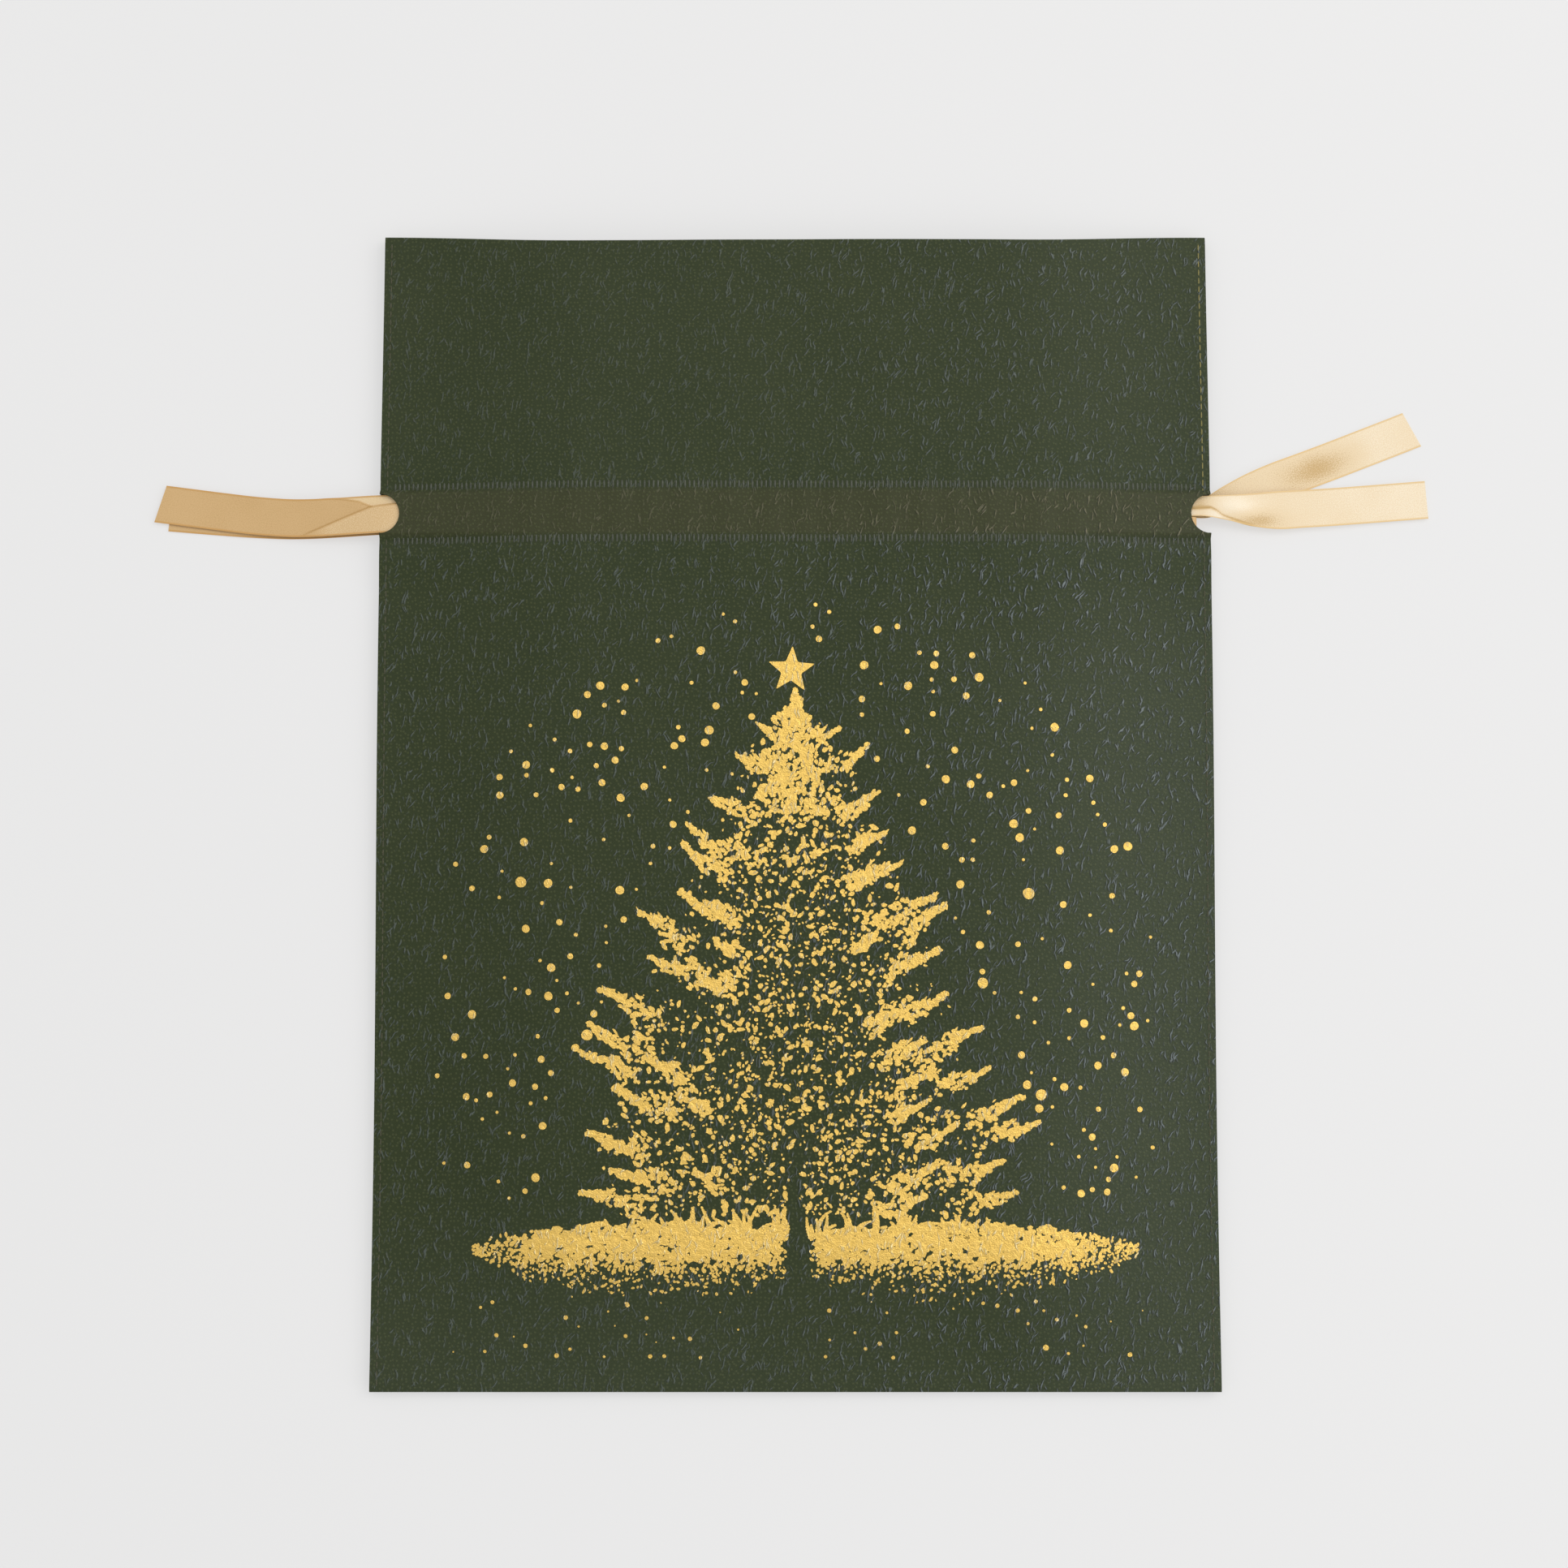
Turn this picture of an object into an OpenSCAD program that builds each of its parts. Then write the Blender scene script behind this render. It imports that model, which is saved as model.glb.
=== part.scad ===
// Fabric gift sack with a double drawstring, lying flat and empty.
// The cloth is one sheet folded at the bottom, stitched down both sides, with a turned-in hem
// at the mouth. Two rows of weld bars fasten the hem to the wall and make the ribbon channel.
// X runs across the sack, Y towards the mouth, Z up from the surface the sack lies on.

/* [Sack] */
// Width of the sack across the stitched sides
sack_w = 260; // [160:1:420]
// Length of the sack from the bottom fold to the mouth
sack_h = 360; // [260:1:600]
// Thickness of the non-woven cloth
cloth_t = 0.5; // [0.3:0.05:0.8]
// Thickness of the whole sack in the middle, as it lies
puff_h = 9.4; // [9:0.1:16]
// Distance over which the walls part, in from each side
puff_run = 60; // [30:1:75]
// Distance over which the walls part, up from the bottom fold
fold_run = 45; // [20:1:80]
// Height of the side seams above the surface, at the middle of the layers
seam_z = 2.6; // [2.6:0.1:4]

/* [Channel] */
// Distance from the mouth down to the upper row of weld bars
header_h = 80.5; // [40:0.5:120]
// Free width on each side of a ribbon in its channel
channel_ease = 2.5; // [2:0.1:6]
// Free width on each side of a ribbon in the notch it leaves by
notch_ease = 0.2; // [0.1:0.1:1.5]
// Length of one weld bar, along the sack
weld_l = 2.5; // [1.5:0.1:3]
// Width of one weld bar
weld_w = 0.7; // [0.4:0.1:1]
// Spacing of the weld bars
weld_pitch = 1.4; // [1.2:0.1:4]
// How far the hem runs on below the lower row of weld bars
hem_tail = 3; // [2:0.5:10]

/* [Seams] */
// Distance from a side edge to its line of stitches
stitch_inset = 2.2; // [1.5:0.1:6]
// Spacing of the stitches
stitch_pitch = 2.7; // [2:0.1:5]
// Length of the thread that shows in one stitch
stitch_l = 2; // [1:0.1:1.9]
// Thickness of the thread
thread_d = 0.4; // [0.2:0.05:0.6]

/* [Ribbons] */
// Width of the satin ribbon
ribbon_w = 12; // [8:0.5:20]
// Thickness of the ribbon
ribbon_t = 0.25; // [0.15:0.05:0.4]
// Free height round each layer of ribbon in its channel
ribbon_gap = 0.3; // [0.3:0.05:0.6]
// Width of the bunched ribbon where the left loop turns round the right notch
left_bight_w = 3.2; // [2:0.1:4]
// Width of the folded ribbon where the right loop turns round the left notch
right_bight_w = 8; // [4:0.5:10]

/* [Foil print] */
// Thickness of the foil
foil_t = 0.15; // [0.1:0.05:0.3]
// Height of the printed tree
tree_h = 161; // [100:1:180]
// Width of the printed tree
tree_w = 144; // [80:1:160]
// Radius of the star at the top of the tree
star_r = 7.6; // [4:0.1:14]
// Number of snow dots
snow_count = 64; // [10:1:120]

/* [Hidden] */

cloth_green = [0.21, 0.25, 0.15];
hem_green = [0.19, 0.23, 0.14];
weld_green = [0.26, 0.30, 0.20];
thread_olive = [0.42, 0.40, 0.16];
foil_gold = [0.85, 0.66, 0.28];
satin_gold = [0.90, 0.76, 0.50];

half_w = sack_w / 2;
fold_y = -sack_h / 2;
mouth_y = sack_h / 2;
channel_w = ribbon_w + 2 * channel_ease;
channel_y = mouth_y - header_h - channel_w / 2;
notch_r = ribbon_w / 2 + notch_ease;
hem_end_y = channel_y - channel_w / 2 - hem_tail;
channel_h = 3 * ribbon_gap + 2 * ribbon_t;
seam_band = stitch_inset + 1.8;
// Gap between two layers of cloth that lie on each other
layer_gap = 0.3;
// Distance over which the layers open up or close
layer_run = 4;
// Height of the cloth's end face at the bottom fold
fold_face = 0.25;

// Smooth step from 0 to 1
function ease(t) = t <= 0 ? 0 : t >= 1 ? 1 : t * t * (3 - 2 * t);

// Half width of the cloth at y, with the half-round notches cut out of its sides
function edge_x(y) =
    let (d = abs(y - channel_y))
    d < notch_r ? half_w - sqrt(notch_r * notch_r - d * d) : half_w;

// How far the walls have parted at a point, from 0 at a seam to 1 in the middle
function parted(x, y) =
    ease((half_w - seam_band - abs(x)) / puff_run) * ease((y - fold_y) / fold_run);

// Gap between a wall and its hem
function hem_gap(y) =
    let (d = abs(y - channel_y),
         inner = channel_w / 2 - weld_l / 2,
         outer = channel_w / 2 + weld_l / 2)
    d < outer
        ? channel_h * ease((inner - d) / (inner - notch_r))
        : layer_gap * ease((d - outer) / 1.5) * ease((mouth_y - y) / 2);

// Half the height of the layers that lie together at a side seam
function edge_half(y) =
    let (hem = ease((y - hem_end_y + layer_run) / layer_run))
    cloth_t + layer_gap / 2 + hem * (cloth_t + (y < hem_end_y ? 0 : hem_gap(y)));

// The cloth turns round the bottom fold in a quarter circle
function fold_turn(y) =
    let (r = edge_half(fold_y), d = min(1, (y - fold_y) / r))
    fold_face / r + (1 - fold_face / r) * sqrt(1 - (1 - d) * (1 - d));

// Outer faces of the front wall and the back wall
function front_z(x, y) =
    let (p = parted(x, y))
    seam_z + edge_half(y) * fold_turn(y) * (1 - p) + (puff_h - seam_z) * p;
function back_z(x, y) =
    let (p = parted(x, y))
    (seam_z - edge_half(y) * fold_turn(y)) * (1 - p);

// Rows of points up the cloth, close together where it bends
notch_rows = [for (a = [-90, -66, -45, -22, 0, 22, 45, 66, 90]) channel_y + notch_r * sin(a)];
weld_edge = channel_w / 2 + weld_l / 2;
weld_side = channel_w / 2 - weld_l / 2;
fold_rows = [for (k = [0:8]) fold_y + fold_run * pow(k / 8, 3)];
body_rows = [for (k = [1:6])
    fold_y + fold_run + (hem_end_y - layer_run - fold_y - fold_run) * k / 6];
hem_rows = concat(
    [hem_end_y, channel_y - weld_edge, channel_y - weld_side],
    [channel_y - (weld_side + notch_r) / 2],
    notch_rows,
    [channel_y + (weld_side + notch_r) / 2],
    [channel_y + weld_side, channel_y + weld_edge, channel_y + weld_edge + 1.5],
    [for (k = [1:5]) channel_y + weld_edge + 1.5 + (mouth_y - 2 - channel_y - weld_edge - 1.5) * k / 5],
    [mouth_y]);
wall_rows = concat(fold_rows, body_rows, [hem_end_y - layer_run / 2], hem_rows);

// Columns of points across the cloth, as shares of its half width
side_columns = [0, 2, 4, 7, 11, 16, 22, 30, 40, 52, 66, 96];
right_columns = [for (d = side_columns) 1 - d / 130];
columns = concat(
    [for (s = right_columns) -s], [0],
    [for (k = [len(right_columns) - 1:-1:0]) right_columns[k]]);

// A closed sheet between two height functions, over rows of y
module sheet(rows, top, bottom) {
    n = len(columns);
    m = len(rows);
    points = concat(
        [for (y = rows, s = columns) let (x = s * edge_x(y)) [x, y, top(x, y)]],
        [for (y = rows, s = columns) let (x = s * edge_x(y)) [x, y, bottom(x, y)]]);
    under = n * m;
    upper_faces = [for (r = [0:m - 2], c = [0:n - 2], h = [0, 1])
        let (k = r * n + c)
        h == 0 ? [k, k + n, k + n + 1] : [k, k + n + 1, k + 1]];
    lower_faces = [for (f = upper_faces) [f[2] + under, f[1] + under, f[0] + under]];
    near_end = [for (c = [0:n - 2], h = [0, 1])
        h == 0 ? [c, c + 1, c + 1 + under] : [c, c + 1 + under, c + under]];
    far_end = [for (c = [0:n - 2], h = [0, 1])
        let (k = (m - 1) * n + c)
        h == 0 ? [k + 1, k, k + under] : [k + 1, k + under, k + 1 + under]];
    left_side = [for (r = [0:m - 2], h = [0, 1])
        let (k = r * n)
        h == 0 ? [k + n, k, k + under] : [k + n, k + under, k + n + under]];
    right_side = [for (r = [0:m - 2], h = [0, 1])
        let (k = r * n + n - 1)
        h == 0 ? [k, k + n, k + n + under] : [k, k + n + under, k + under]];
    polyhedron(points, concat(upper_faces, lower_faces, near_end, far_end, left_side, right_side));
}

module front_panel() {
    color(cloth_green)
        sheet(wall_rows,
              function(x, y) front_z(x, y),
              function(x, y) max(seam_z, front_z(x, y) - cloth_t));
}

module back_panel() {
    color(cloth_green)
        sheet(wall_rows,
              function(x, y) min(seam_z, back_z(x, y) + cloth_t),
              function(x, y) back_z(x, y));
}

module front_hem() {
    color(hem_green)
        sheet(hem_rows,
              function(x, y) front_z(x, y) - cloth_t - hem_gap(y),
              function(x, y) front_z(x, y) - 2 * cloth_t - hem_gap(y));
}

module back_hem() {
    color(hem_green)
        sheet(hem_rows,
              function(x, y) back_z(x, y) + 2 * cloth_t + hem_gap(y),
              function(x, y) back_z(x, y) + cloth_t + hem_gap(y));
}

// One row of weld bars, from_z and to_z being the heights it runs between
module weld_row(y, from_z, to_z) {
    count = floor((half_w - seam_band) / weld_pitch);
    for (k = [-count:count]) {
        x = k * weld_pitch;
        translate([x - weld_w / 2, y - weld_l / 2, from_z(x, y)])
            cube([weld_w, weld_l, to_z(x, y) - from_z(x, y)]);
    }
}

// How far a weld bar stands proud of the cloth
weld_proud = 0.12;

module front_channel_welds() {
    color(weld_green)
        for (side = [-1, 1])
            weld_row(channel_y + side * channel_w / 2,
                     function(x, y) front_z(x, y) - 2 * cloth_t,
                     function(x, y) front_z(x, y) + weld_proud);
}

module back_channel_welds() {
    color(weld_green)
        for (side = [-1, 1])
            weld_row(channel_y + side * channel_w / 2,
                     function(x, y) back_z(x, y) + cloth_t / 2,
                     function(x, y) back_z(x, y) + 2 * cloth_t + weld_proud);
}

// A lockstitch: a dash of thread above the cloth, one below, and the leg between them
module stitch(x, y) {
    top = front_z(x, y);
    low = back_z(x, y);
    translate([x - thread_d / 2, y - stitch_l / 2, top])
        cube([thread_d, stitch_l, thread_d * 0.7]);
    translate([x - thread_d / 2, y - stitch_l / 2, low - thread_d * 0.7])
        cube([thread_d, stitch_l, thread_d * 0.7]);
    translate([x - thread_d / 2, y - stitch_l / 2, low - thread_d * 0.7])
        cube([thread_d, thread_d, top - low + thread_d * 1.4]);
}

module side_stitching(side) {
    count = floor((sack_h - 3) / stitch_pitch);
    for (k = [0:count - 1]) {
        y = fold_y + 1.5 + stitch_pitch * (k + 0.5);
        if (abs(y - channel_y) > notch_r + stitch_l / 2)
            stitch(side * (half_w - stitch_inset), y);
    }
}

module left_side_stitching() {
    color(thread_olive) side_stitching(-1);
}

module right_side_stitching() {
    color(thread_olive) side_stitching(1);
}

// A flat strip along a route of [x, y, z, width]. Across is the way its width runs,
// or undef for level and square to the route.
module strip(route, across = undef) {
    n = len(route);
    place = [for (p = route) [p[0], p[1], p[2]]];
    points = [for (k = [0:n - 1])
        let (way = place[min(k + 1, n - 1)] - place[max(k - 1, 0)],
             run = way / norm(way),
             side = is_undef(across) ? [-run[1], run[0], 0] / norm([run[0], run[1]]) : across,
             up = cross(run, side),
             a = side * route[k][3] / 2,
             b = up * ribbon_t / 2)
        each [place[k] - a - b, place[k] + a - b, place[k] + a + b, place[k] - a + b]];
    walls = [for (k = [0:n - 2], e = [0:3], h = [0, 1])
        let (a = 4 * k + e, b = 4 * k + (e + 1) % 4)
        h == 0 ? [a, a + 4, b + 4] : [a, b + 4, b]];
    last = 4 * (n - 1);
    polyhedron(points, concat([[0, 1, 2], [0, 2, 3]], walls,
                              [[last + 2, last + 1, last], [last + 3, last + 2, last]]));
}

// Heights of a layer of ribbon in the two channels. Layer 0 lies against the wall, layer 1
// against the hem.
function layer_z(layer) = ribbon_gap + ribbon_t / 2 + layer * (ribbon_gap + ribbon_t);
function front_run_z(x, layer) = front_z(x, channel_y) - cloth_t - layer_z(layer);
function back_run_z(x, layer) = back_z(x, channel_y) + cloth_t + layer_z(layer);

exit_x = half_w - notch_r;
// Distance over which a ribbon narrows before it turns or leaves by a notch
gather_run = 30;
// Width of the right ribbon where it leaves by its notch, beside the left one's turn
right_exit_w = notch_r - left_bight_w * 0.28 + 1.2;
left_bight_dy = -left_bight_w / 2 - 0.9;
right_exit_dy = right_exit_w / 2 - 0.6;
run_x = [for (k = [0:len(columns) - 1]) columns[k] * exit_x];

function mix(a, b, t) = a + (b - a) * t;

// A loop of ribbon: through the front channel, round the far notch, and back through the
// back channel. Side is -1 for the ribbon that leaves on the left. Turn and leave give the
// [width, shift along Y] at its turn and where it leaves.
module loop(side, layer, turn, leave) {
    place = function(x) let (
        far = ease((-side * x - exit_x + gather_run) / gather_run),
        near = ease((side * x - exit_x + gather_run) / gather_run))
        [mix(mix(ribbon_w, turn[0], far), leave[0], near), turn[1] * far + leave[1] * near];
    reach = abs(turn[1]) + turn[0] / 2;
    turn_x = edge_x(channel_y + reach) - 0.3;
    high = front_run_z(exit_x, layer);
    low = back_run_z(exit_x, layer);
    out = [for (k = [0:len(run_x) - 1]) let (x = -side * run_x[k], p = place(x))
        [x, channel_y + p[1], front_run_z(x, layer), p[0]]];
    bend = [for (a = [90:-22.5:-90])
        [-side * (turn_x + (high - low) / 2 * cos(a)), channel_y + turn[1],
         (high + low) / 2 + (high - low) / 2 * sin(a), turn[0]]];
    back = [for (k = [len(run_x) - 1:-1:0]) let (x = -side * run_x[k], p = place(x))
        [x, channel_y + p[1], back_run_z(x, layer), p[0]]];
    color(satin_gold) strip(concat(out, bend, back), [0, -side, 0]);
}

module left_ribbon_loop() {
    loop(-1, 0, [left_bight_w, left_bight_dy], [ribbon_w, 0]);
}

module right_ribbon_loop() {
    loop(1, 1, [right_bight_w, 0], [right_exit_w, right_exit_dy]);
}

// Routes of the tails, as [out from the notch, along the sack, height, width], for a ribbon
// of width route_w. The first point of each is where its ribbon leaves the channel.
route_w = 12;
left_front_route = [
    [6, 0, 4.1, 12], [12, -0.2, 3.6, 12], [20, -0.6, 2.8, 12], [28, -0.9, 2.1, 12],
    [36, -0.8, 1.6, 12], [46, 0, 1.2, 12], [56, 1.2, 1, 12], [66, 2.5, 0.9, 12],
    [76, 3.8, 0.9, 12]];
left_back_route = [
    [6, 0, 0.9, 12], [12, -0.3, 0.75, 12], [20, -0.8, 0.55, 12], [28, -1.2, 0.4, 12],
    [36, -1.3, 0.3, 12], [46, -0.9, 0.25, 12], [56, -0.2, 0.2, 12], [66, 0.6, 0.2, 12],
    [73, 1.2, 0.2, 12]];
right_front_route = [
    [5, 2.6, 3.6, 6.5], [12, 2.2, 3.2, 8], [20, 1.6, 2.6, 10.4], [28, 1.6, 2.1, 12],
    [36, 2.1, 1.7, 12], [46, 2.8, 1.3, 12], [56, 3.6, 1, 12], [66, 4.4, 0.9, 12],
    [75, 5.1, 0.9, 12]];
right_back_route = [
    [5, 2.4, 1.4, 6.4], [8, 3.5, 1.3, 6.8], [13, 5.6, 1.1, 8.6], [20, 8.2, 0.9, 10.8],
    [28, 11.1, 0.7, 12], [36, 14.1, 0.5, 12], [46, 17.9, 0.3, 12], [56, 21.8, 0.2, 12],
    [66, 25.7, 0.2, 12], [71, 27.7, 0.2, 12]];

// A tail, from its start at the notch along its route
module tail(side, start_z, start, route) {
    from = [side * exit_x, channel_y + start[1], start_z, start[0]];
    size = ribbon_w / route_w;
    rest = [for (p = route)
        [side * (exit_x + p[0] * size), channel_y + p[1] * size, p[2], p[3] * size]];
    color(satin_gold) strip(concat([from], rest));
}

module left_ribbon_front_tail() {
    tail(-1, front_run_z(exit_x, 0), [ribbon_w, 0], left_front_route);
}

module left_ribbon_back_tail() {
    tail(-1, back_run_z(exit_x, 0), [ribbon_w, 0], left_back_route);
}

module right_ribbon_front_tail() {
    tail(1, front_run_z(exit_x, 1), [right_exit_w, right_exit_dy], right_front_route);
}

module right_ribbon_back_tail() {
    tail(1, back_run_z(exit_x, 1), [right_exit_w, right_exit_dy], right_back_route);
}

// Places of the print, down from the upper row of weld bars
star_y = channel_y - channel_w / 2 - 41.5;
tree_top = star_y - 6;
tree_foot = tree_top - tree_h;
tiers = 9;
drift_w = tree_w * 0.66;

module star() {
    translate([0, star_y])
        polygon([for (k = [0:9]) let (r = k % 2 == 0 ? star_r : star_r * 0.4)
            [-r * sin(36 * k), r * cos(36 * k)]]);
}

// A fir tree: each tier of boughs ends in a tip and steps back in
module tree() {
    side = [for (k = [1:tiers]) let (
        y = tree_top - tree_h * k / (tiers + 0.6),
        reach = tree_w / 2 * pow(k / tiers, 0.9))
        each [[reach, y], [reach * 0.72, y + 1.5]]];
    polygon(concat([[0, tree_top]], side, [[0, tree_foot]],
                   [for (k = [len(side) - 1:-1:0]) [-side[k][0], side[k][1]]]));
}

// A bank of snow: a low arc above and a deeper one below
module drift(x) {
    translate([x, tree_foot - 9])
        polygon(concat(
            [for (k = [-8:8]) [drift_w / 2 * k / 8, 7.5 * (1 - pow(k / 8, 2))]],
            [for (k = [7:-1:-7]) [drift_w / 2 * k / 8, -7 * (1 - pow(k / 8, 2))]]));
}

// Snow dots fall on the walls outside the tree
module snow() {
    spread = half_w - 8;
    xs = rands(-1, 1, snow_count, 11);
    hs = rands(0, 1, snow_count, 12);
    rs = rands(0.6, 1.7, snow_count, 13);
    for (k = [0:snow_count - 1]) {
        y = mix(fold_y + 10, channel_y - channel_w / 2 - 16, hs[k]);
        down = (tree_top - y) / tree_h;
        clear = down < -0.1 || down > 1.15 ? 0 : tree_w / 2 * max(0.12, min(1.35, down)) + 6;
        x = sign(xs[k]) * mix(min(clear, spread - 12), spread, abs(xs[k]));
        translate([x, y]) circle(rs[k], $fn = 10);
    }
}

module foil_print() {
    color(foil_gold)
        intersection() {
            sheet(wall_rows,
                  function(x, y) front_z(x, y) + foil_t,
                  function(x, y) front_z(x, y));
            linear_extrude(puff_h + 5) {
                star();
                tree();
                drift(-drift_w / 2 - 2);
                drift(drift_w / 2 + 2);
                snow();
            }
        }
}

front_panel();
back_panel();
front_hem();
back_hem();
front_channel_welds();
back_channel_welds();
left_side_stitching();
right_side_stitching();
foil_print();
left_ribbon_loop();
left_ribbon_front_tail();
left_ribbon_back_tail();
right_ribbon_loop();
right_ribbon_front_tail();
right_ribbon_back_tail();
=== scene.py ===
"""A fabric gift sack with a double drawstring, lying flat and empty on a pale table.

The cloth is built in four quarters: left and right of the middle, below and above the ribbon
channel. X runs across the sack, Y towards the mouth and Z up from the table, in metres.
"""
import math

import bmesh
import bpy
import numpy as np
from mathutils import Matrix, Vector


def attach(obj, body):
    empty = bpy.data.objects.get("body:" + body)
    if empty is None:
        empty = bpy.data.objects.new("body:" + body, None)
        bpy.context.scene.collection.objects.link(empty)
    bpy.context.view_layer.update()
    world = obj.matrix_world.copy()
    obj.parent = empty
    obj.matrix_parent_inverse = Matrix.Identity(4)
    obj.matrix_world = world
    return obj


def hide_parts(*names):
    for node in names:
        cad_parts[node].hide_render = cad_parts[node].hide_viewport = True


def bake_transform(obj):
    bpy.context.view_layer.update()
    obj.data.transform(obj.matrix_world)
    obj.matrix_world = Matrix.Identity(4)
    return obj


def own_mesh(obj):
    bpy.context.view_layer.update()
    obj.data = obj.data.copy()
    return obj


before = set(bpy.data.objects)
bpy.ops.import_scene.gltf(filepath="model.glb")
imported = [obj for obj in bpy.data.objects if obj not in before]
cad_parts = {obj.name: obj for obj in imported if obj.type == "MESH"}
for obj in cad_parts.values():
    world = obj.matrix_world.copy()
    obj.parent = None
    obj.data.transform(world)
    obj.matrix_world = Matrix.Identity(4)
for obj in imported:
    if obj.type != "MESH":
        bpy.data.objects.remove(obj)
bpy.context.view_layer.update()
MM = 0.001
SEED = 24
rng = np.random.default_rng(SEED)

# Sizes of the sack, as in the part
HALF_W = 130 * MM
FOLD_Y = -180 * MM
MOUTH_Y = 180 * MM
CLOTH_T = 0.5 * MM
PUFF_H = 9.4 * MM
PUFF_RUN = 60 * MM
FOLD_RUN = 45 * MM
SEAM_Z = 2.6 * MM
CHANNEL_W = 17 * MM
CHANNEL_Y = 91 * MM
NOTCH_R = 6.2 * MM
WELD_L = 2.5 * MM
WELD_W = 0.7 * MM
WELD_PITCH = 1.4 * MM
HEM_END_Y = CHANNEL_Y - CHANNEL_W / 2 - 3 * MM
STITCH_INSET = 2.2 * MM
STITCH_PITCH = 2.7 * MM
STITCH_L = 2 * MM
THREAD_D = 0.4 * MM
RIBBON_W = 12 * MM
RIBBON_T = 0.25 * MM
RIBBON_GAP = 0.3 * MM
CHANNEL_H = 3 * RIBBON_GAP + 2 * RIBBON_T
SEAM_BAND = STITCH_INSET + 1.8 * MM
LAYER_GAP = 0.3 * MM
LAYER_RUN = 14 * MM
DOT_PITCH = 1.4 * MM
EXIT_X = HALF_W - NOTCH_R
GATHER_RUN = 30 * MM
FOIL_T = 0.06 * MM


def ease(t):
    """Smooth step from 0 to 1."""
    t = np.clip(t, 0, 1)
    return t * t * (3 - 2 * t)


# ---------------------------------------------------------------- the lie of the cloth

def edge_x(y):
    """Half width of the cloth at y, with the half-round notches cut out of its sides."""
    return HALF_W - np.sqrt(np.clip(NOTCH_R**2 - (y - CHANNEL_Y) ** 2, 0, None))


def parted(x, y):
    """How far the walls have parted, from 0 at a seam to 1 in the middle."""
    return ease((HALF_W - SEAM_BAND - np.abs(x)) / PUFF_RUN) * ease((y - FOLD_Y) / FOLD_RUN)


def hem_gap(y):
    """Gap between a wall and its hem: wide in the channel, none at the weld rows and the mouth."""
    away = np.abs(y - CHANNEL_Y)
    inner = CHANNEL_W / 2 - WELD_L / 2
    outer = CHANNEL_W / 2 + WELD_L / 2
    beyond = LAYER_GAP * ease((away - outer) / (1.5 * MM)) * ease((MOUTH_Y - y) / (2 * MM))
    return np.where(away < outer, CHANNEL_H * ease((inner - away) / (inner - NOTCH_R)), beyond)


def edge_half(y):
    """Half the height of the layers that lie together at a side seam."""
    hem = ease((y - HEM_END_Y + LAYER_RUN) / LAYER_RUN)
    return CLOTH_T + LAYER_GAP / 2 + hem * (CLOTH_T + hem_gap(np.maximum(y, HEM_END_Y)))


def ripple(x, y):
    """Soft waves of a sack that was folded and opened out, with faint pleats at the ribbon."""
    u, v = x / MM, y / MM
    waves = 0.22 * np.sin(u / 21 + 1.3 * np.sin(v / 34)) * np.sin(v / 27 + 0.8)
    waves += 0.12 * np.sin(u / 9.5 + v / 13) * np.sin(v / 17 - u / 31)
    near = np.exp(-(((y - CHANNEL_Y) / (26 * MM)) ** 2))
    pleats = 0.16 * near * np.sin(u / 1.9 + 0.9 * np.sin(u / 7.3))
    return (waves + pleats) * MM * parted(x, y)


def front_z(x, y):
    """Height of the front wall's outer face."""
    p = parted(x, y)
    return SEAM_Z + edge_half(y) * (1 - p) + (PUFF_H - SEAM_Z) * p + ripple(x, y)


def back_z(x, y):
    """Height of the back wall's outer face."""
    return (SEAM_Z - edge_half(y)) * (1 - parted(x, y))


def wander(x, y):
    """Where a point of the cloth lies: cut edges are never quite straight."""
    u, v = x / MM, y / MM
    dx = 0.35 * np.sin(v / 47 + 0.6) * x / HALF_W
    dy = (0.3 * np.sin(u / 38 + 1.1) - 2.7 * parted(x, y)) * np.clip((v - 100) / 80, 0, 1) ** 2
    return x + dx * MM, y + dy * MM


# ---------------------------------------------------------------- making meshes

def new_piece(name, mesh, *materials):
    """An object for a mesh, with its finishes."""
    piece = bpy.data.objects.new(name, mesh)
    bpy.context.scene.collection.objects.link(piece)
    for material in materials:
        mesh.materials.append(material)
    return piece


def points_of(mesh):
    """A mesh's points as an array of [point, xyz]."""
    co = np.zeros(len(mesh.vertices) * 3, np.float32)
    mesh.vertices.foreach_get("co", co)
    return co.reshape(-1, 3).astype(float)


def place_points(mesh, co):
    """Puts a mesh's points where the array says."""
    mesh.vertices.foreach_set("co", np.asarray(co, np.float32).ravel())
    mesh.update()


def lay_flat_map(mesh, flat):
    """A UV map that holds each point's place on the flat cloth, in metres."""
    layer = mesh.uv_layers.new(name="flat")
    corner = np.zeros(len(mesh.loops), np.int32)
    mesh.loops.foreach_get("vertex_index", corner)
    layer.data.foreach_set("uv", np.asarray(flat, np.float32)[corner].ravel())


def finished(piece, sharp=50):
    """The piece with its modifiers applied, smooth but for its sharp edges."""
    mesh = bpy.data.meshes.new_from_object(
        piece.evaluated_get(bpy.context.evaluated_depsgraph_get()))
    mesh.name = piece.name
    piece.modifiers.clear()
    piece.data = mesh
    mesh.shade_smooth()
    mesh.set_sharp_from_angle(angle=math.radians(sharp))
    return piece


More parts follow.
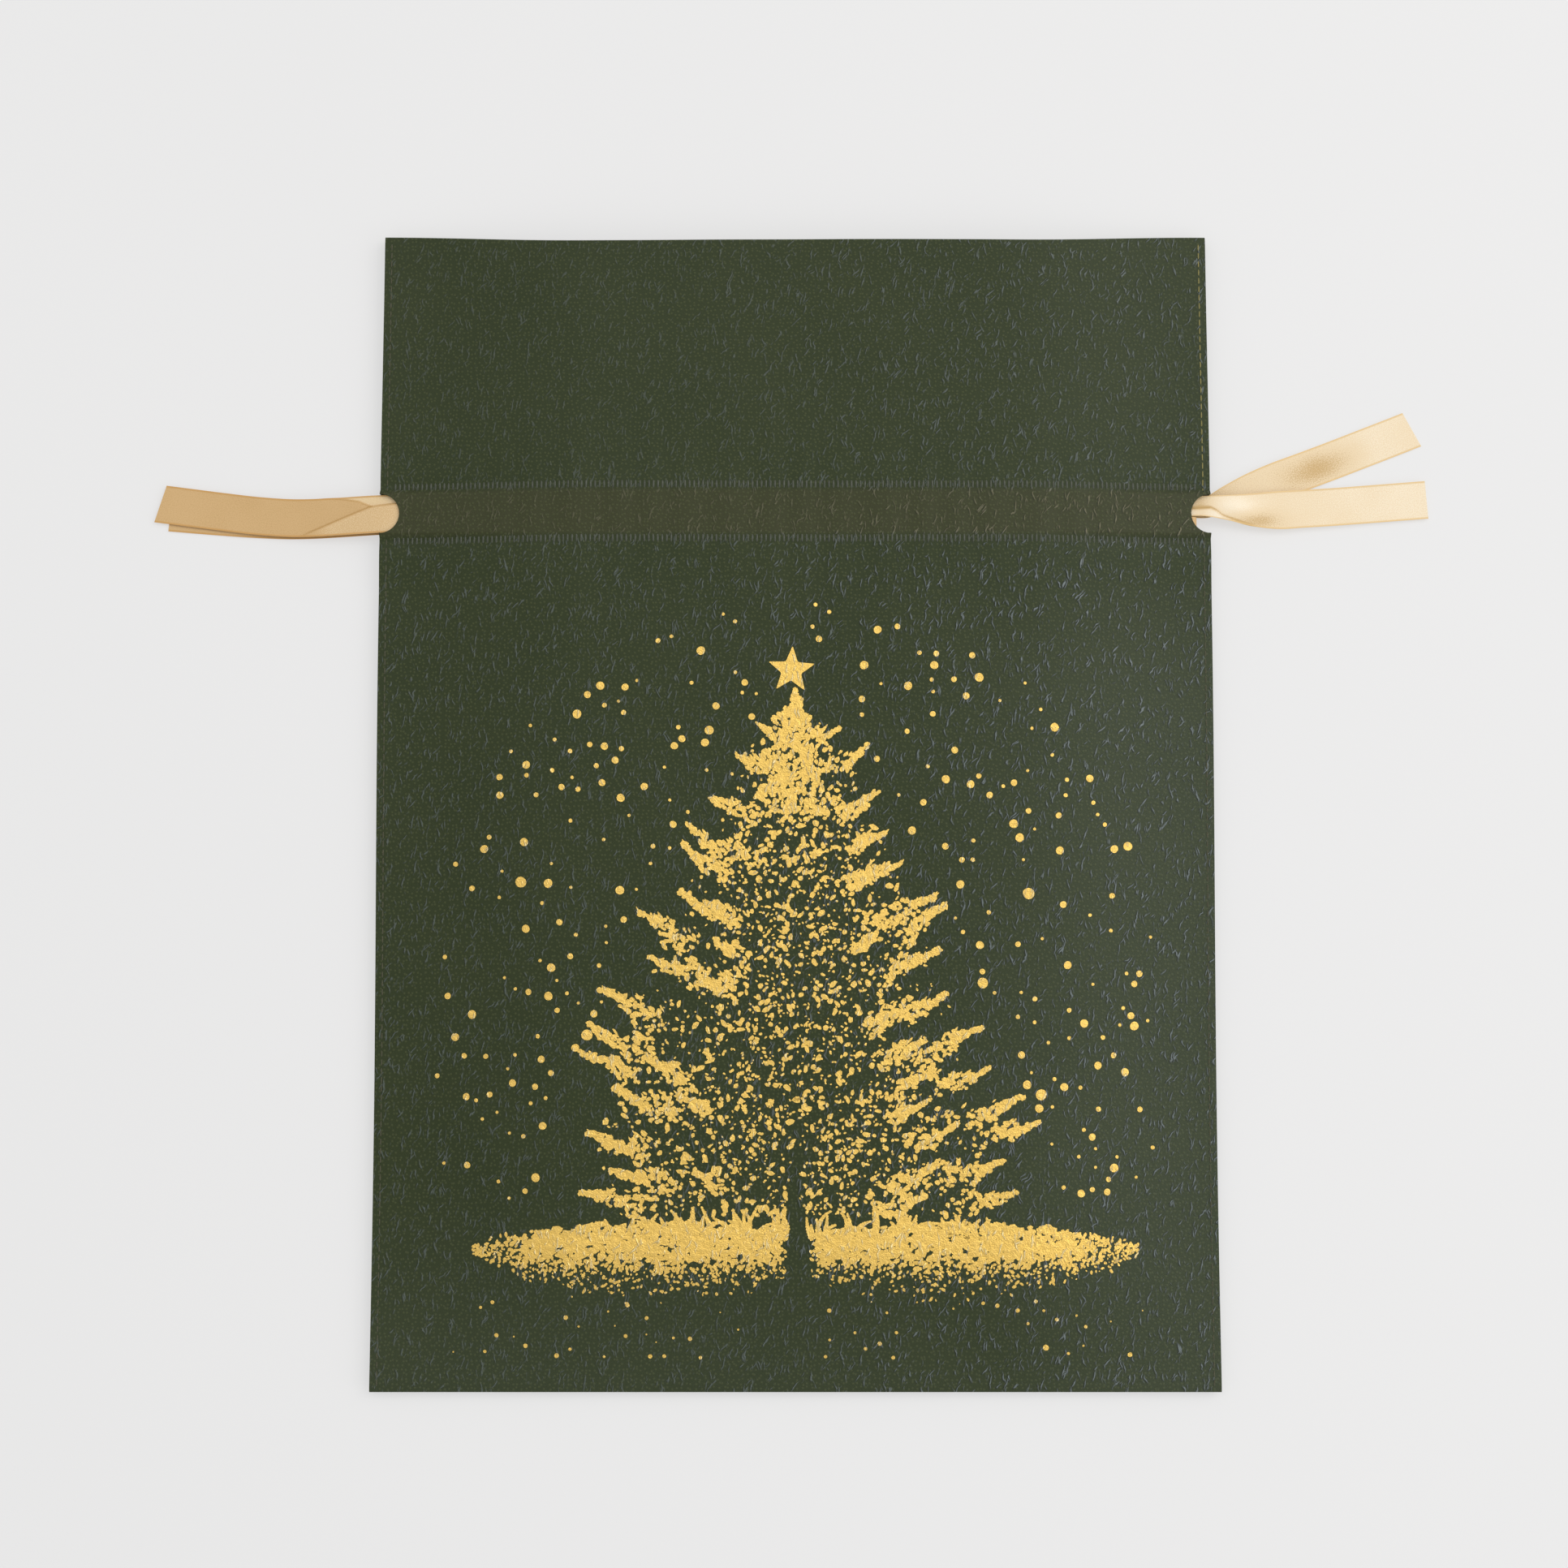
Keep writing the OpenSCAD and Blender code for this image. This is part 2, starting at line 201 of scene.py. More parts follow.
def woven(name, columns, rows, surface, flat, thickness, *materials, shade=None):
    """A sheet over a grid. Surface gives each point's place, flat its place on the flat cloth
    and shade how light it is painted (painted light and shade), all from the numbers of its column
    and row."""
    bm = bmesh.new()
    bmesh.ops.create_grid(bm, x_segments=columns - 1, y_segments=rows - 1, size=1)
    mesh = bpy.data.meshes.new(name)
    bm.to_mesh(mesh)
    bm.free()
    co = points_of(mesh)
    column = np.rint((co[:, 0] + 1) / 2 * (columns - 1)).astype(int)
    row = np.rint((co[:, 1] + 1) / 2 * (rows - 1)).astype(int)
    place_points(mesh, np.stack(surface(column, row), axis=1))
    lay_flat_map(mesh, np.stack(flat(column, row), axis=1))
    if shade:
        mesh.attributes.new("shade", "FLOAT", "POINT")
        mesh.attributes["shade"].data.foreach_set("value", shade(column, row).astype(np.float32))
    piece = new_piece(name, mesh, *materials)
    wall = piece.modifiers.new("thickness", "SOLIDIFY")
    wall.thickness = thickness
    wall.offset = 0
    return finished(piece)


def repeated(name, pattern, count):
    """A mesh that holds count copies of a pattern on one spot, and the copies' points as an array
    of [copy, point, xyz]."""
    mesh = bpy.data.meshes.new(name)
    pattern.to_mesh(mesh)
    pattern.free()
    maker = new_piece(name, mesh)
    copies = maker.modifiers.new("copies", "ARRAY")
    copies.count = count
    copies.use_relative_offset = False
    made = bpy.data.meshes.new_from_object(
        maker.evaluated_get(bpy.context.evaluated_depsgraph_get()))
    bpy.data.objects.remove(maker)
    return made, points_of(made).reshape(count, -1, 3)


# ---------------------------------------------------------------- shader maths

class Value:
    """A socket's output, for shader maths written as expressions."""

    def __init__(self, finish, socket):
        self.finish, self.socket = finish, socket

    def _maths(self, operation, *values):
        return self.finish.node("Math", {"operation": operation}, dict(enumerate(values)))

    def __add__(self, other):
        return self._maths("ADD", self, other)

    def __radd__(self, other):
        return self._maths("ADD", other, self)

    def __sub__(self, other):
        return self._maths("SUBTRACT", self, other)

    def __rsub__(self, other):
        return self._maths("SUBTRACT", other, self)

    def __mul__(self, other):
        return self._maths("MULTIPLY", self, other)

    def __rmul__(self, other):
        return self._maths("MULTIPLY", other, self)


class Finish:
    """A material under construction."""

    def __init__(self, name):
        self.material = bpy.data.materials.new(name)
        self.material.use_nodes = True
        self.tree = self.material.node_tree
        self.tree.nodes.clear()

    def node(self, kind, settings=None, sockets=None, out=0):
        """Adds any node: its settings first, then the values or links of its sockets."""
        made = self.tree.nodes.new("ShaderNode" + kind)
        for name, value in (settings or {}).items():
            setattr(made, name, value)
        for key, value in (sockets or {}).items():
            if isinstance(value, Value):
                self.tree.links.new(value.socket, made.inputs[key])
            else:
                made.inputs[key].default_value = value
        return Value(self, made.outputs[out]) if made.outputs else None

    def step(self, value, start, end, low=0.0, high=1.0):
        """A smooth step of value from start to end, giving low to high."""
        return self.node("MapRange", {"interpolation_type": "SMOOTHSTEP"},
                         {0: value, 1: start, 2: end, 3: low, 4: high})

    def tint(self, share, first, second):
        """A colour between two colours."""
        return self.node("Mix", {"data_type": "RGBA"}, {0: share, 6: first, 7: second}, out=2)

    def place(self):
        """The place on the flat cloth, in millimetres."""
        flat = self.node("UVMap", {"uv_map": "flat"})
        return self.node("VectorMath", {"operation": "SCALE"}, {0: flat, 3: 1 / MM})

    def noise(self, place, scale, detail=2.0, roughness=0.5):
        return self.node("TexNoise", {"noise_dimensions": "2D"},
                         {"Vector": place, "Scale": scale, "Detail": detail,
                          "Roughness": roughness})

    def bump(self, height, strength=1.0):
        """A normal from a height in millimetres."""
        return self.node("Bump", None, {"Strength": strength, "Distance": MM, "Height": height})

    def surface(self, **sockets):
        """The shader itself, from its sockets' names with _ for spaces."""
        named = {key.replace("_", " "): value for key, value in sockets.items()}
        shader = self.node("BsdfPrincipled", None, named)
        self.node("OutputMaterial", None, {"Surface": shader})
        return self.material


def creases(finish, place):
    """Short raised ticks pressed into the cloth, most of them nearly upright."""
    warp = finish.node("TexNoise", {"noise_dimensions": "2D"},
                       {"Vector": place, "Scale": 0.30, "Detail": 2.0}, out=1)
    bent = finish.node("VectorMath", {"operation": "MULTIPLY_ADD"},
                       {0: warp, 1: (1.7, 1.7, 0), 2: place})
    height = None
    for angle, length, width, start, cover in (
            (78, 14.0, 1.4, 3, 0.44), (104, 11.0, 1.3, 41, 0.47), (50, 12.0, 1.4, 77, 0.49)):
        turned = finish.node(
            "Mapping", {"vector_type": "TEXTURE"},
            {"Vector": bent, "Location": (start, start, 0),
             "Rotation": (0, 0, math.radians(angle)), "Scale": (length, width, 1)})
        away = finish.node("TexVoronoi", {"voronoi_dimensions": "2D"},
                           {"Vector": turned, "Scale": 1.0, "Randomness": 1.0})
        patch = finish.node("VectorMath", {"operation": "ADD"}, {0: place, 1: (start, 0, 0)})
        shown = finish.step(finish.noise(patch, 0.30, 1.0), cover, cover + 0.18)
        stroke = finish.step(away, 0.08, 0.22, 1.0, 0.0) * shown
        height = stroke if height is None else height._maths("MAXIMUM", height, stroke)
    return height


# ---------------------------------------------------------------- finishes

def cloth_finish():
    """Dark olive non-woven: bond dots and pressed creases, with a painted cool sheen on what stands
    proud and painted shadow beside it.
    """
    f = Finish("olive_cloth")
    place = f.place()
    dots = f.node("TexVoronoi", {"voronoi_dimensions": "2D"},
                  {"Vector": place, "Scale": MM / DOT_PITCH, "Randomness": 0.7})
    dot = f.step(dots, 0.10, 0.34, 1.0, 0.0)
    fibre = f.noise(place, 2.6, 3.0, 0.65)
    patch = f.noise(place, 0.035, 3.0)
    across = f.node("SeparateXYZ", None, {0: place}, out=0)
    along = f.node("SeparateXYZ", None, {0: place}, out=1)
    above = f.step(along, 82.8, 85.0)
    in_channel = above * f.step(along, 97.0, 99.2, 1.0, 0.0)
    # The ticks are weaker in the mouth and grow stronger towards the right, in relief and in their
    # painted sheen and shadow, as the light falls from the right.
    deep = f.step(along, 70.0, 95.0, 1.0, 0.55) * f.step(across, -60.0, 115.0, 0.55, 1.5)
    stroke = creases(f, place) * deep
    # Painted shadow: the ticks again, shifted a little, darken the cloth just beside each tick on
    # the side away from the light.
    beside = f.node("VectorMath", {"operation": "ADD"}, {0: place, 1: (0.42, 0.2, 0)})
    painted_shadow = creases(f, beside) * deep * (1 - stroke)
    # Painted sheen: the cloth is painted lighter towards the right and towards the bottom fold,
    # where the lamps light it most.
    right = f.step(across, 10.0, 128.0) * f.step(along, 88.0, 20.0, 0.3, 1.0)
    painted_sheen = right._maths("MAXIMUM", right, f.step(along, -110.0, -180.0, 0.0, 0.45))
    colour = f.tint(patch, (0.0210, 0.0330, 0.0065, 1), (0.0290, 0.0405, 0.0095, 1))
    colour = f.tint(in_channel * 0.6, colour, (0.048, 0.047, 0.015, 1))
    colour = f.tint(dot * 0.5, colour, (0.078, 0.092, 0.032, 1))
    colour = f.tint(fibre * 0.3, colour, (0.014, 0.021, 0.005, 1))
    # Painted sheen: ticks that stand proud are tinted cool blue-grey, and tan in the channel, as if
    # they caught the light.
    painted_ridge_sheen = f.tint(in_channel, (0.170, 0.205, 0.215, 1), (0.230, 0.205, 0.110, 1))
    colour = f.tint(painted_shadow * 0.6, colour, (0.009, 0.015, 0.004, 1))
    colour = f.tint(stroke * 0.52, colour, painted_ridge_sheen)
    colour = f.tint(painted_sheen * (0.30 * fibre - 0.01), colour, (0.150, 0.172, 0.140, 1))
    height = stroke * 0.34 + dot * 0.06 + fibre * 0.06
    return f.surface(Base_Color=colour, Roughness=0.47 - 0.14 * stroke,
                     Specular_IOR_Level=0.26, Coat_Weight=0.6 * stroke, Coat_Roughness=0.25,
                     Normal=f.bump(height))


def weld_finish():
    """Cloth fused under pressure: a little glossier than the rest."""
    f = Finish("fused_cloth")
    place = f.place()
    grain = f.noise(place, 1.1, 2.0)
    colour = f.tint(grain, (0.020, 0.026, 0.012, 1), (0.075, 0.085, 0.055, 1))
    return f.surface(Base_Color=colour, Roughness=0.36,
                     Normal=f.bump(f.noise(place, 3.0) * 0.05))


def thread_finish():
    """Twisted olive thread, painted lighter and yellower towards the mouth on the right, where the
    light falls on it.
    """
    f = Finish("olive_thread")
    place = f.place()
    across = f.node("SeparateXYZ", None, {0: place}, out=0)
    along = f.node("SeparateXYZ", None, {0: place}, out=1)
    # Painted light: the thread near the mouth on the right is tinted as if it caught the light.
    painted_light = f.step(along, 92.0, 100.0) * f.step(across, 100.0, 120.0)
    colour = f.tint(painted_light, (0.050, 0.052, 0.022, 1), (0.33, 0.28, 0.075, 1))
    colour = f.tint(f.noise(place, 0.9) * 0.5, colour, (0.10, 0.09, 0.030, 1))
    twist = f.node("TexWave", {"bands_direction": "DIAGONAL"}, {"Vector": place, "Scale": 1.6})
    return f.surface(Base_Color=colour, Roughness=0.5, Sheen_Weight=0.2,
                     Normal=f.bump(twist * 0.06))


def foil_finish():
    """Hot-stamped gold foil, which follows the creases of the cloth under it, with painted
    highlights on them.
    """
    f = Finish("gold_foil")
    place = f.place()
    stroke = creases(f, place)
    mottle = f.noise(place, 0.5, 3.0, 0.6)
    fine = f.noise(place, 2.4, 2.0)
    colour = f.tint(mottle, (0.87, 0.56, 0.12, 1), (0.91, 0.63, 0.18, 1))
    # Painted highlight: the foil is painted paler on the creases, where they catch the light.
    colour = f.tint(stroke * 0.75, colour, (1.0, 0.84, 0.46, 1))
    height = stroke * 0.30 + fine * 0.16 + mottle * 0.35
    return f.surface(Base_Color=colour, Metallic=1.0, Roughness=0.33 + 0.16 * mottle,
                     Normal=f.bump(height))


def satin_finish(name, deep, usual, light, edge, roughness):
    """Satin ribbon: fine threads, a soft sheen, a firm woven edge on both sides, and painted light
    and shade.
    """
    f = Finish(name)
    place = f.place()
    across = f.node("SeparateXYZ", None, {0: place}, out=1)
    away = across._maths("ABSOLUTE", across)
    selvedge = f.step(away, 5.25, 5.75)
    weft = f.node("TexWave", {"bands_direction": "X"}, {"Vector": place, "Scale": 1.3})
    cloudy = f.noise(place, 0.05, 2.0)
    grain = f.noise(place, 3.2, 2.0)
    # The shade attribute is painted light and shade: painted highlights, and painted shade on the
    # folds, dips and roots of the tails, plus the lighter strands where the left ribbon folds.
    # Cloudy and grain add tone that varies at random. Deep is the colour at full painted shade,
    # light the colour at the lightest.
    shade = f.node("Attribute", {"attribute_name": "shade"}, None, out=2)
    shade = shade + 0.25 * cloudy - 0.125 + 0.8 * grain - 0.4
    colour = f.tint(f.step(shade, 0.0, 0.5), deep, usual)
    colour = f.tint(f.step(shade, 0.5, 1.0), colour, light)
    colour = f.tint(selvedge * 0.8, colour, edge)
    height = weft * 0.006 + grain * 0.012 + selvedge * 0.05
    return f.surface(Base_Color=colour, Roughness=roughness + 0.1 * grain,
                     Sheen_Weight=0.25, Sheen_Roughness=0.35, Normal=f.bump(height))


def table_finish():
    """Pale matt paper, lit partly from within so that it stays even."""
    f = Finish("pale_table")
    place = f.node("TexCoord", None, None, out=3)
    grain = f.node("TexNoise", None, {"Vector": place, "Scale": 3.0, "Detail": 2.0})
    colour = f.tint(grain, (0.30, 0.298, 0.296, 1), (0.31, 0.308, 0.306, 1))
    return f.surface(Base_Color=colour, Roughness=0.8, Specular_IOR_Level=0.1,
                     Emission_Color=(1, 1, 0.998, 1), Emission_Strength=0.525)


# ---------------------------------------------------------------- camera and light

def aim(thing, place, target):
    """Puts a camera or lamp at a place, pointing at the target."""
    thing.location = place
    thing.rotation_mode = "QUATERNION"
    thing.rotation_quaternion = (Vector(target) - Vector(place)).to_track_quat("-Z", "Y")


TILT = math.radians(4.7)
CAMERA_AWAY = 775.5 * MM
LENS = 57.2


def set_camera():
    """Nearly straight above the sack, a little towards its bottom fold."""
    target = Vector((-3.5 * MM, 6.2 * MM, SEAM_Z))
    camera = bpy.data.objects.new("camera", bpy.data.cameras.new("camera"))
    bpy.context.scene.collection.objects.link(camera)
    camera.data.lens = LENS
    camera.data.sensor_width = 36
    camera.data.clip_start = 0.01
    aim(camera, target + CAMERA_AWAY * Vector((0, -math.sin(TILT), math.cos(TILT))), target)
    bpy.context.scene.camera = camera


def soft_box(name, place, target, size, power, colour):
    """A rectangular area lamp."""
    lamp = bpy.data.lights.new(name, "AREA")
    lamp.shape = "RECTANGLE"
    lamp.size, lamp.size_y = size
    lamp.energy = power
    lamp.color = colour
    made = bpy.data.objects.new(name, lamp)
    bpy.context.scene.collection.objects.link(made)
    aim(made, place, target)


def set_light():
    """A large soft box to the upper right, over an even pale room."""
    scene = bpy.context.scene
    scene.view_settings.view_transform = "Standard"
    world = bpy.data.worlds.new("room")
    world.use_nodes = True
    room = world.node_tree.nodes["Background"]
    room.inputs["Color"].default_value = (0.985, 0.985, 1.0, 1)
    room.inputs["Strength"].default_value = 0.66
    scene.world = world
    soft_box("key_light", (1.3, 0.75, 1.35), (0, 0, 0), (1.3, 1.3), 12, (1.0, 0.98, 0.95))
    soft_box("side_light", (1.25, -0.55, 0.6), (0.05, -0.05, 0), (0.9, 0.7), 3.5, (0.97, 0.98, 1.0))
    soft_box("top_light", (-0.25, 0.9, 1.9), (0, 0, 0), (1.6, 1.2), 6, (1.0, 0.99, 0.98))


# ---------------------------------------------------------------- ribbons

STRIP_POINTS = 41  # across a ribbon


def smooth_line(points, steps=6):
    """A smooth curve through points, as many numbers wide as they are (Catmull-Rom)."""
    p = np.asarray(points, float)
    p = np.concatenate([[2 * p[0] - p[1]], p, [2 * p[-1] - p[-2]]])
    t = np.arange(steps)[:, None] / steps
    line = [
        0.5 * (2 * b + (c - a) * t + (2 * a - 5 * b + 4 * c - d) * t**2
               + (3 * b - a - 3 * c + d) * t**3)
        for a, b, c, d in zip(p[:-3], p[1:-2], p[2:-1], p[3:], strict=True)
    ]
    return np.concatenate([*line, p[-2:-1]])


def strip(name, line, across, look, start, slant, *materials):
    """A flat ribbon along a line of [x, y, z, width]. Across gives the way of its width at each
    station. Look gives the lift and the painted shade (painted light and shade) of a point from how
    far along the ribbon it is and how far it is from the middle towards the mouth, all in
    millimetres."""
    run = np.gradient(line[:, :3], axis=0)
    run /= np.linalg.norm(run, axis=1)[:, None]
    up = np.cross(run, across)
    far = np.concatenate([[0], np.cumsum(np.linalg.norm(np.diff(line[:, :3], axis=0), axis=1))])

    def spot(column, row):
        share = column / (STRIP_POINTS - 1) * 2 - 1
        aside = across[row] * (share * line[row, 3] / 2)[:, None]
        lift, shade = look(far[row] / MM, aside[:, 1] / MM)
        return aside, lift * MM, shade

    def surface(column, row):
        aside, lift, _ = spot(column, row)
        cut = ease((far[row] - far[-1]) / (12 * MM) + 1) * slant
        co = line[row, :3] + aside + run[row] * (cut * aside[:, 1])[:, None]
        return (co + up[row] * lift[:, None]).T

    def flat(column, row):
        return far[row] + start, (column / (STRIP_POINTS - 1) - 0.5) * RIBBON_W

    def shade(column, row):
        return spot(column, row)[2]

    return woven(name, STRIP_POINTS, len(line), surface, flat, RIBBON_T, *materials,
                 shade=shade)


# How deep the left and the right ribbon lie in a channel, from the wall's inner face
LOW = RIBBON_GAP + RIBBON_T / 2
HIGH = LOW + RIBBON_GAP + RIBBON_T


def front_run_z(x, layer_z):
    """Height of a ribbon in the front channel."""
    return front_z(x, CHANNEL_Y) - CLOTH_T - layer_z


def back_run_z(x, layer_z):
    """Height of a ribbon in the back channel."""
    return back_z(x, CHANNEL_Y) + CLOTH_T + layer_z


# Width of a ribbon and its distance from the channel's middle, where it turns and where it leaves
LEFT_BIGHT = (3.2 * MM, -2.5 * MM)
RIGHT_BIGHT = (8 * MM, 0)
LEFT_EXIT = (RIBBON_W, 0)
RIGHT_EXIT = (6.504 * MM, 2.652 * MM)


def ribbon_loop(name, side, layer_z, turn, leave, material):
    """A loop of ribbon: through the front channel, round the far notch, and back behind it."""
    x = np.linspace(1, -1, 121) * side * EXIT_X
    far = ease((-side * x - EXIT_X + GATHER_RUN) / GATHER_RUN)
    near = ease((side * x - EXIT_X + GATHER_RUN) / GATHER_RUN)
    width = RIBBON_W + (turn[0] - RIBBON_W) * far
    width = width + (leave[0] - width) * near
    y = CHANNEL_Y + turn[1] * far + leave[1] * near
    out = np.stack([x, y, front_run_z(x, layer_z), width], axis=1)
    back = np.stack([x, y, back_run_z(x, layer_z), width], axis=1)[::-1]
    reach = abs(turn[1]) + turn[0] / 2
    turn_x = edge_x(CHANNEL_Y + reach) - 1.1 * MM
    half = (out[-1, 2] - back[0, 2]) / 2
    angle = np.radians(np.linspace(90, -90, 15))
    bend = np.stack([
        -side * (turn_x + half * np.cos(angle)), np.full(15, CHANNEL_Y + turn[1]),
        out[-1, 2] - half + half * np.sin(angle), np.full(15, turn[0])], axis=1)
    out, back = out[np.abs(out[:, 0]) < turn_x], back[np.abs(back[:, 0]) < turn_x]
    line = np.concatenate([out, bend, back])
    across = np.tile([0.0, -side, 0.0], (len(line), 1))
    return strip(name, line, across, plain_look, 400 * MM, 0, material)


def ribbon_tail(name, side, start, route, look, slant, material):
    """A tail along its route of [out from the notch, along the sack, height, width]."""
    route = np.asarray(route, float) * MM
    line = smooth_line(np.concatenate([[start], route]), 12)
    line[:, 0] = side * (EXIT_X + line[:, 0])
    line[:, 1] += CHANNEL_Y
    run = np.gradient(line[:, :2], axis=0)
    run /= np.linalg.norm(run, axis=1)[:, None]
    across = np.stack([-run[:, 1], run[:, 0], np.zeros(len(run))], axis=1)
    begin = 0 if "front" in name else 200 * MM
    piece = strip(name, line, across, look, begin, slant, material)
    return piece


# Routes of the tails, as in the part
LEFT_FRONT_ROUTE = [
    [6, 0, 4.1, 12], [12, -0.2, 3.6, 12], [20, -0.6, 2.8, 12], [28, -0.9, 2.1, 12],
    [36, -0.8, 1.6, 12], [46, 0, 1.2, 12], [56, 1.2, 1, 12], [66, 2.5, 0.9, 12],
    [76, 3.8, 0.9, 12]]
LEFT_BACK_ROUTE = [
    [6, 0, 0.9, 12], [12, -0.3, 0.75, 12], [20, -0.8, 0.55, 12], [28, -1.2, 0.4, 12],
    [36, -1.3, 0.3, 12], [46, -0.9, 0.25, 12], [56, -0.2, 0.2, 12], [66, 0.6, 0.2, 12],
    [73, 1.2, 0.2, 12]]
RIGHT_FRONT_ROUTE = [
    [5, 2.6, 3.6, 6.5], [12, 2.2, 3.2, 8], [20, 1.6, 2.6, 10.4], [28, 1.6, 2.1, 12],
    [36, 2.1, 1.7, 12], [46, 2.8, 1.3, 12], [56, 3.6, 1, 12], [66, 4.4, 0.9, 12],
    [75, 5.1, 0.9, 12]]
RIGHT_BACK_ROUTE = [
    [5, 2.4, 1.4, 6.4], [8, 3.5, 1.3, 6.8], [13, 5.6, 1.1, 8.6], [20, 8.2, 0.9, 10.8],
    [28, 11.1, 0.7, 12], [36, 14.1, 0.5, 12], [46, 17.9, 0.3, 12], [56, 21.8, 0.2, 12],
    [66, 25.7, 0.2, 12], [71, 27.7, 0.2, 12]]


def plain_look(far, across):
    """No fold: no lift, and the usual shade of 0.5, with no light or shade painted."""
    return 0 * far * across, 0.5 + 0 * far


def hill(value, middle, width):
    """A smooth hump of height 1 about the middle."""
    return np.exp(-(((value - middle) / width) ** 2))


def left_front_look(far, across):
    """The reverse face narrows to a point at the notch, between the strand that dives under it
    and the lower strand that is folded up over it."""
    arc = np.interp(far, [0, 9, 13, 17.6, 24, 31], [2.4, 2.4, 4.3, 5.3, 6.0, 6.6])
    fold = np.interp(far, [0, 1, 9, 18, 26.6, 33], [3.4, 3.3, 2.4, -0.6, -3.7, -6.4])
    fades = ease((36 - far) / 12)
    under = ease((across - np.maximum(arc, fold)) / 0.5 + 0.5)
    over = ease((fold - across) / 0.5 + 0.5)
    painted_crease_shade = hill(across, arc, 0.3) * (far > 8.5) + hill(across, fold, 0.35)
    lift = (0.30 * over - 0.35 * under) * fades
    # Shade: the strands beside the reverse face are lighter, and the fold lines get painted shade.
    shade = 0.42 + (0.5 * under + 0.3 * over * ease((31 - far) / 10)) - 0.5 * painted_crease_shade * fades
    return lift, shade


def right_front_look(far, across):
    """A rim folded over along the lower edge by the notch, and the satin rising in the middle, with
    painted light and shade on both.
    """
    fold = np.interp(far, [0, 6.6, 8.5, 10.5, 19.4, 25], [-0.9, -0.5, -1.3, -2.7, -5.1, -6.4])
    rim = ease((fold - across) / 0.5 + 0.5)
    painted_highlight = 0.35 * hill(far, 15, 7) * hill(across, 0.6, 3.6)
    painted_shadow = 0.52 * hill(far, 21, 8) * hill(across, -3.4, 3.4)
    root = 0.40 * hill(far, 3, 4)
    painted_crease_shade = 1.2 * hill(across, fold, 0.55) * ease((24 - far) / 8)
    lift = 0.28 * rim + 0.5 * hill(far, 14, 6) * hill(across, 0, 3)
    # Painted light and shade: a highlight where the satin rises, shadow in the dip below it and
    # near the root, shade along the fold line, a lighter folded rim and a lighter end.
    shade = 0.62 + painted_highlight - painted_shadow - root - 0.6 * painted_crease_shade + 0.35 * rim + 0.1 * ease((far - 30) / 30)
    return lift, shade


def right_back_look(far, across):
    """A soft dip half way along, with painted shade in it and near the root, and a painted
    highlight further on.
    """
    painted_shadow = 0.50 * hill(far, 44, 12) * hill(across, -0.6, 4.8)
    root = 0.42 * hill(far, 4, 14)
    lift = -0.15 * hill(far, 46, 8)
    # Painted shade in the dip and near the root, and a painted highlight further along.
    return lift, 0.58 - painted_shadow - root + 0.18 * hill(far, 66, 12) + 0 * across


def make_ribbons():
    """Both ribbons: the left one shows its dull reverse, the right one its glossy face."""
    dull = satin_finish("satin_reverse", (0.50, 0.29, 0.09, 1), (0.65, 0.425, 0.190, 1),
                        (0.80, 0.61, 0.35, 1), (0.58, 0.31, 0.08, 1), 0.52)
    shiny = satin_finish("satin_face", (0.58, 0.38, 0.15, 1), (0.83, 0.66, 0.42, 1),
                         (0.94, 0.83, 0.64, 1), (0.76, 0.52, 0.22, 1), 0.38)
    tails = [
        ("left", "front", -1, (0, 0, front_run_z(EXIT_X, LOW), RIBBON_W),
         LEFT_FRONT_ROUTE, left_front_look, -0.18, dull),
        ("left", "back", -1, (0, 0, back_run_z(EXIT_X, LOW), RIBBON_W),
         LEFT_BACK_ROUTE, plain_look, 0, dull),
        ("right", "front", 1, (0, RIGHT_EXIT[1], front_run_z(EXIT_X, HIGH), RIGHT_EXIT[0]),
         RIGHT_FRONT_ROUTE, right_front_look, 0, shiny),
        ("right", "back", 1, (0, RIGHT_EXIT[1], back_run_z(EXIT_X, HIGH), RIGHT_EXIT[0]),
         RIGHT_BACK_ROUTE, right_back_look, -0.12, shiny)]
    for side, wall, sign, start, route, look, slant, material in tails:
        piece = ribbon_tail(f"{side}_ribbon_{wall}_end", sign, start, route, look, slant,
                            material)
        pull_with(piece, side, f"{side}_ribbon_{wall}_tail")
    loops = [("left", -1, LOW, LEFT_BIGHT, LEFT_EXIT, dull),
             ("right", 1, HIGH, RIGHT_BIGHT, RIGHT_EXIT, shiny)]
    for side, sign, layer_z, turn, leave, material in loops:
        piece = ribbon_loop(f"{side}_ribbon_run", sign, layer_z, turn, leave, material)
        pull_with(piece, side, f"{side}_ribbon_loop")


def pull_with(piece, side, node):
    """The piece is drawn with its ribbon, with a mesh of its own."""
    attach(piece, f"{side}_ribbon")
    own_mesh(piece)
    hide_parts(node)


# ---------------------------------------------------------------- the cloth

GATHER = 0.7  # how much of the pull reaches the notch on the far side
FLARE = 0.35  # how much less of it reaches the mouth
GRID = 1.4 * MM  # spacing of the cloth's points


def gather(piece, side, above):
    """Bakes the piece's placement into its mesh. The pull of the ribbon that draws its side in,
    most at the channel and less away from it, is worked out but not applied."""
    sign = 1 if side == "right" else -1
    if above:
        climb = -FLARE / (MOUTH_Y - CHANNEL_Y)
    else:
        climb = GATHER / (CHANNEL_Y - FOLD_Y)
    slope = Vector((sign * GATHER / HALF_W, climb, 0))
    puller = "left_ribbon" if side == "right" else "right_ribbon"
    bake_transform(piece)


SIDES = (("left", -1), ("right", 1))


def notch_rows(low, high, count=9):
    """Rows round a notch, close together at its ends, from low to high in quarter turns."""
    return CHANNEL_Y + NOTCH_R * np.sin(np.radians(np.linspace(low, high, count)))


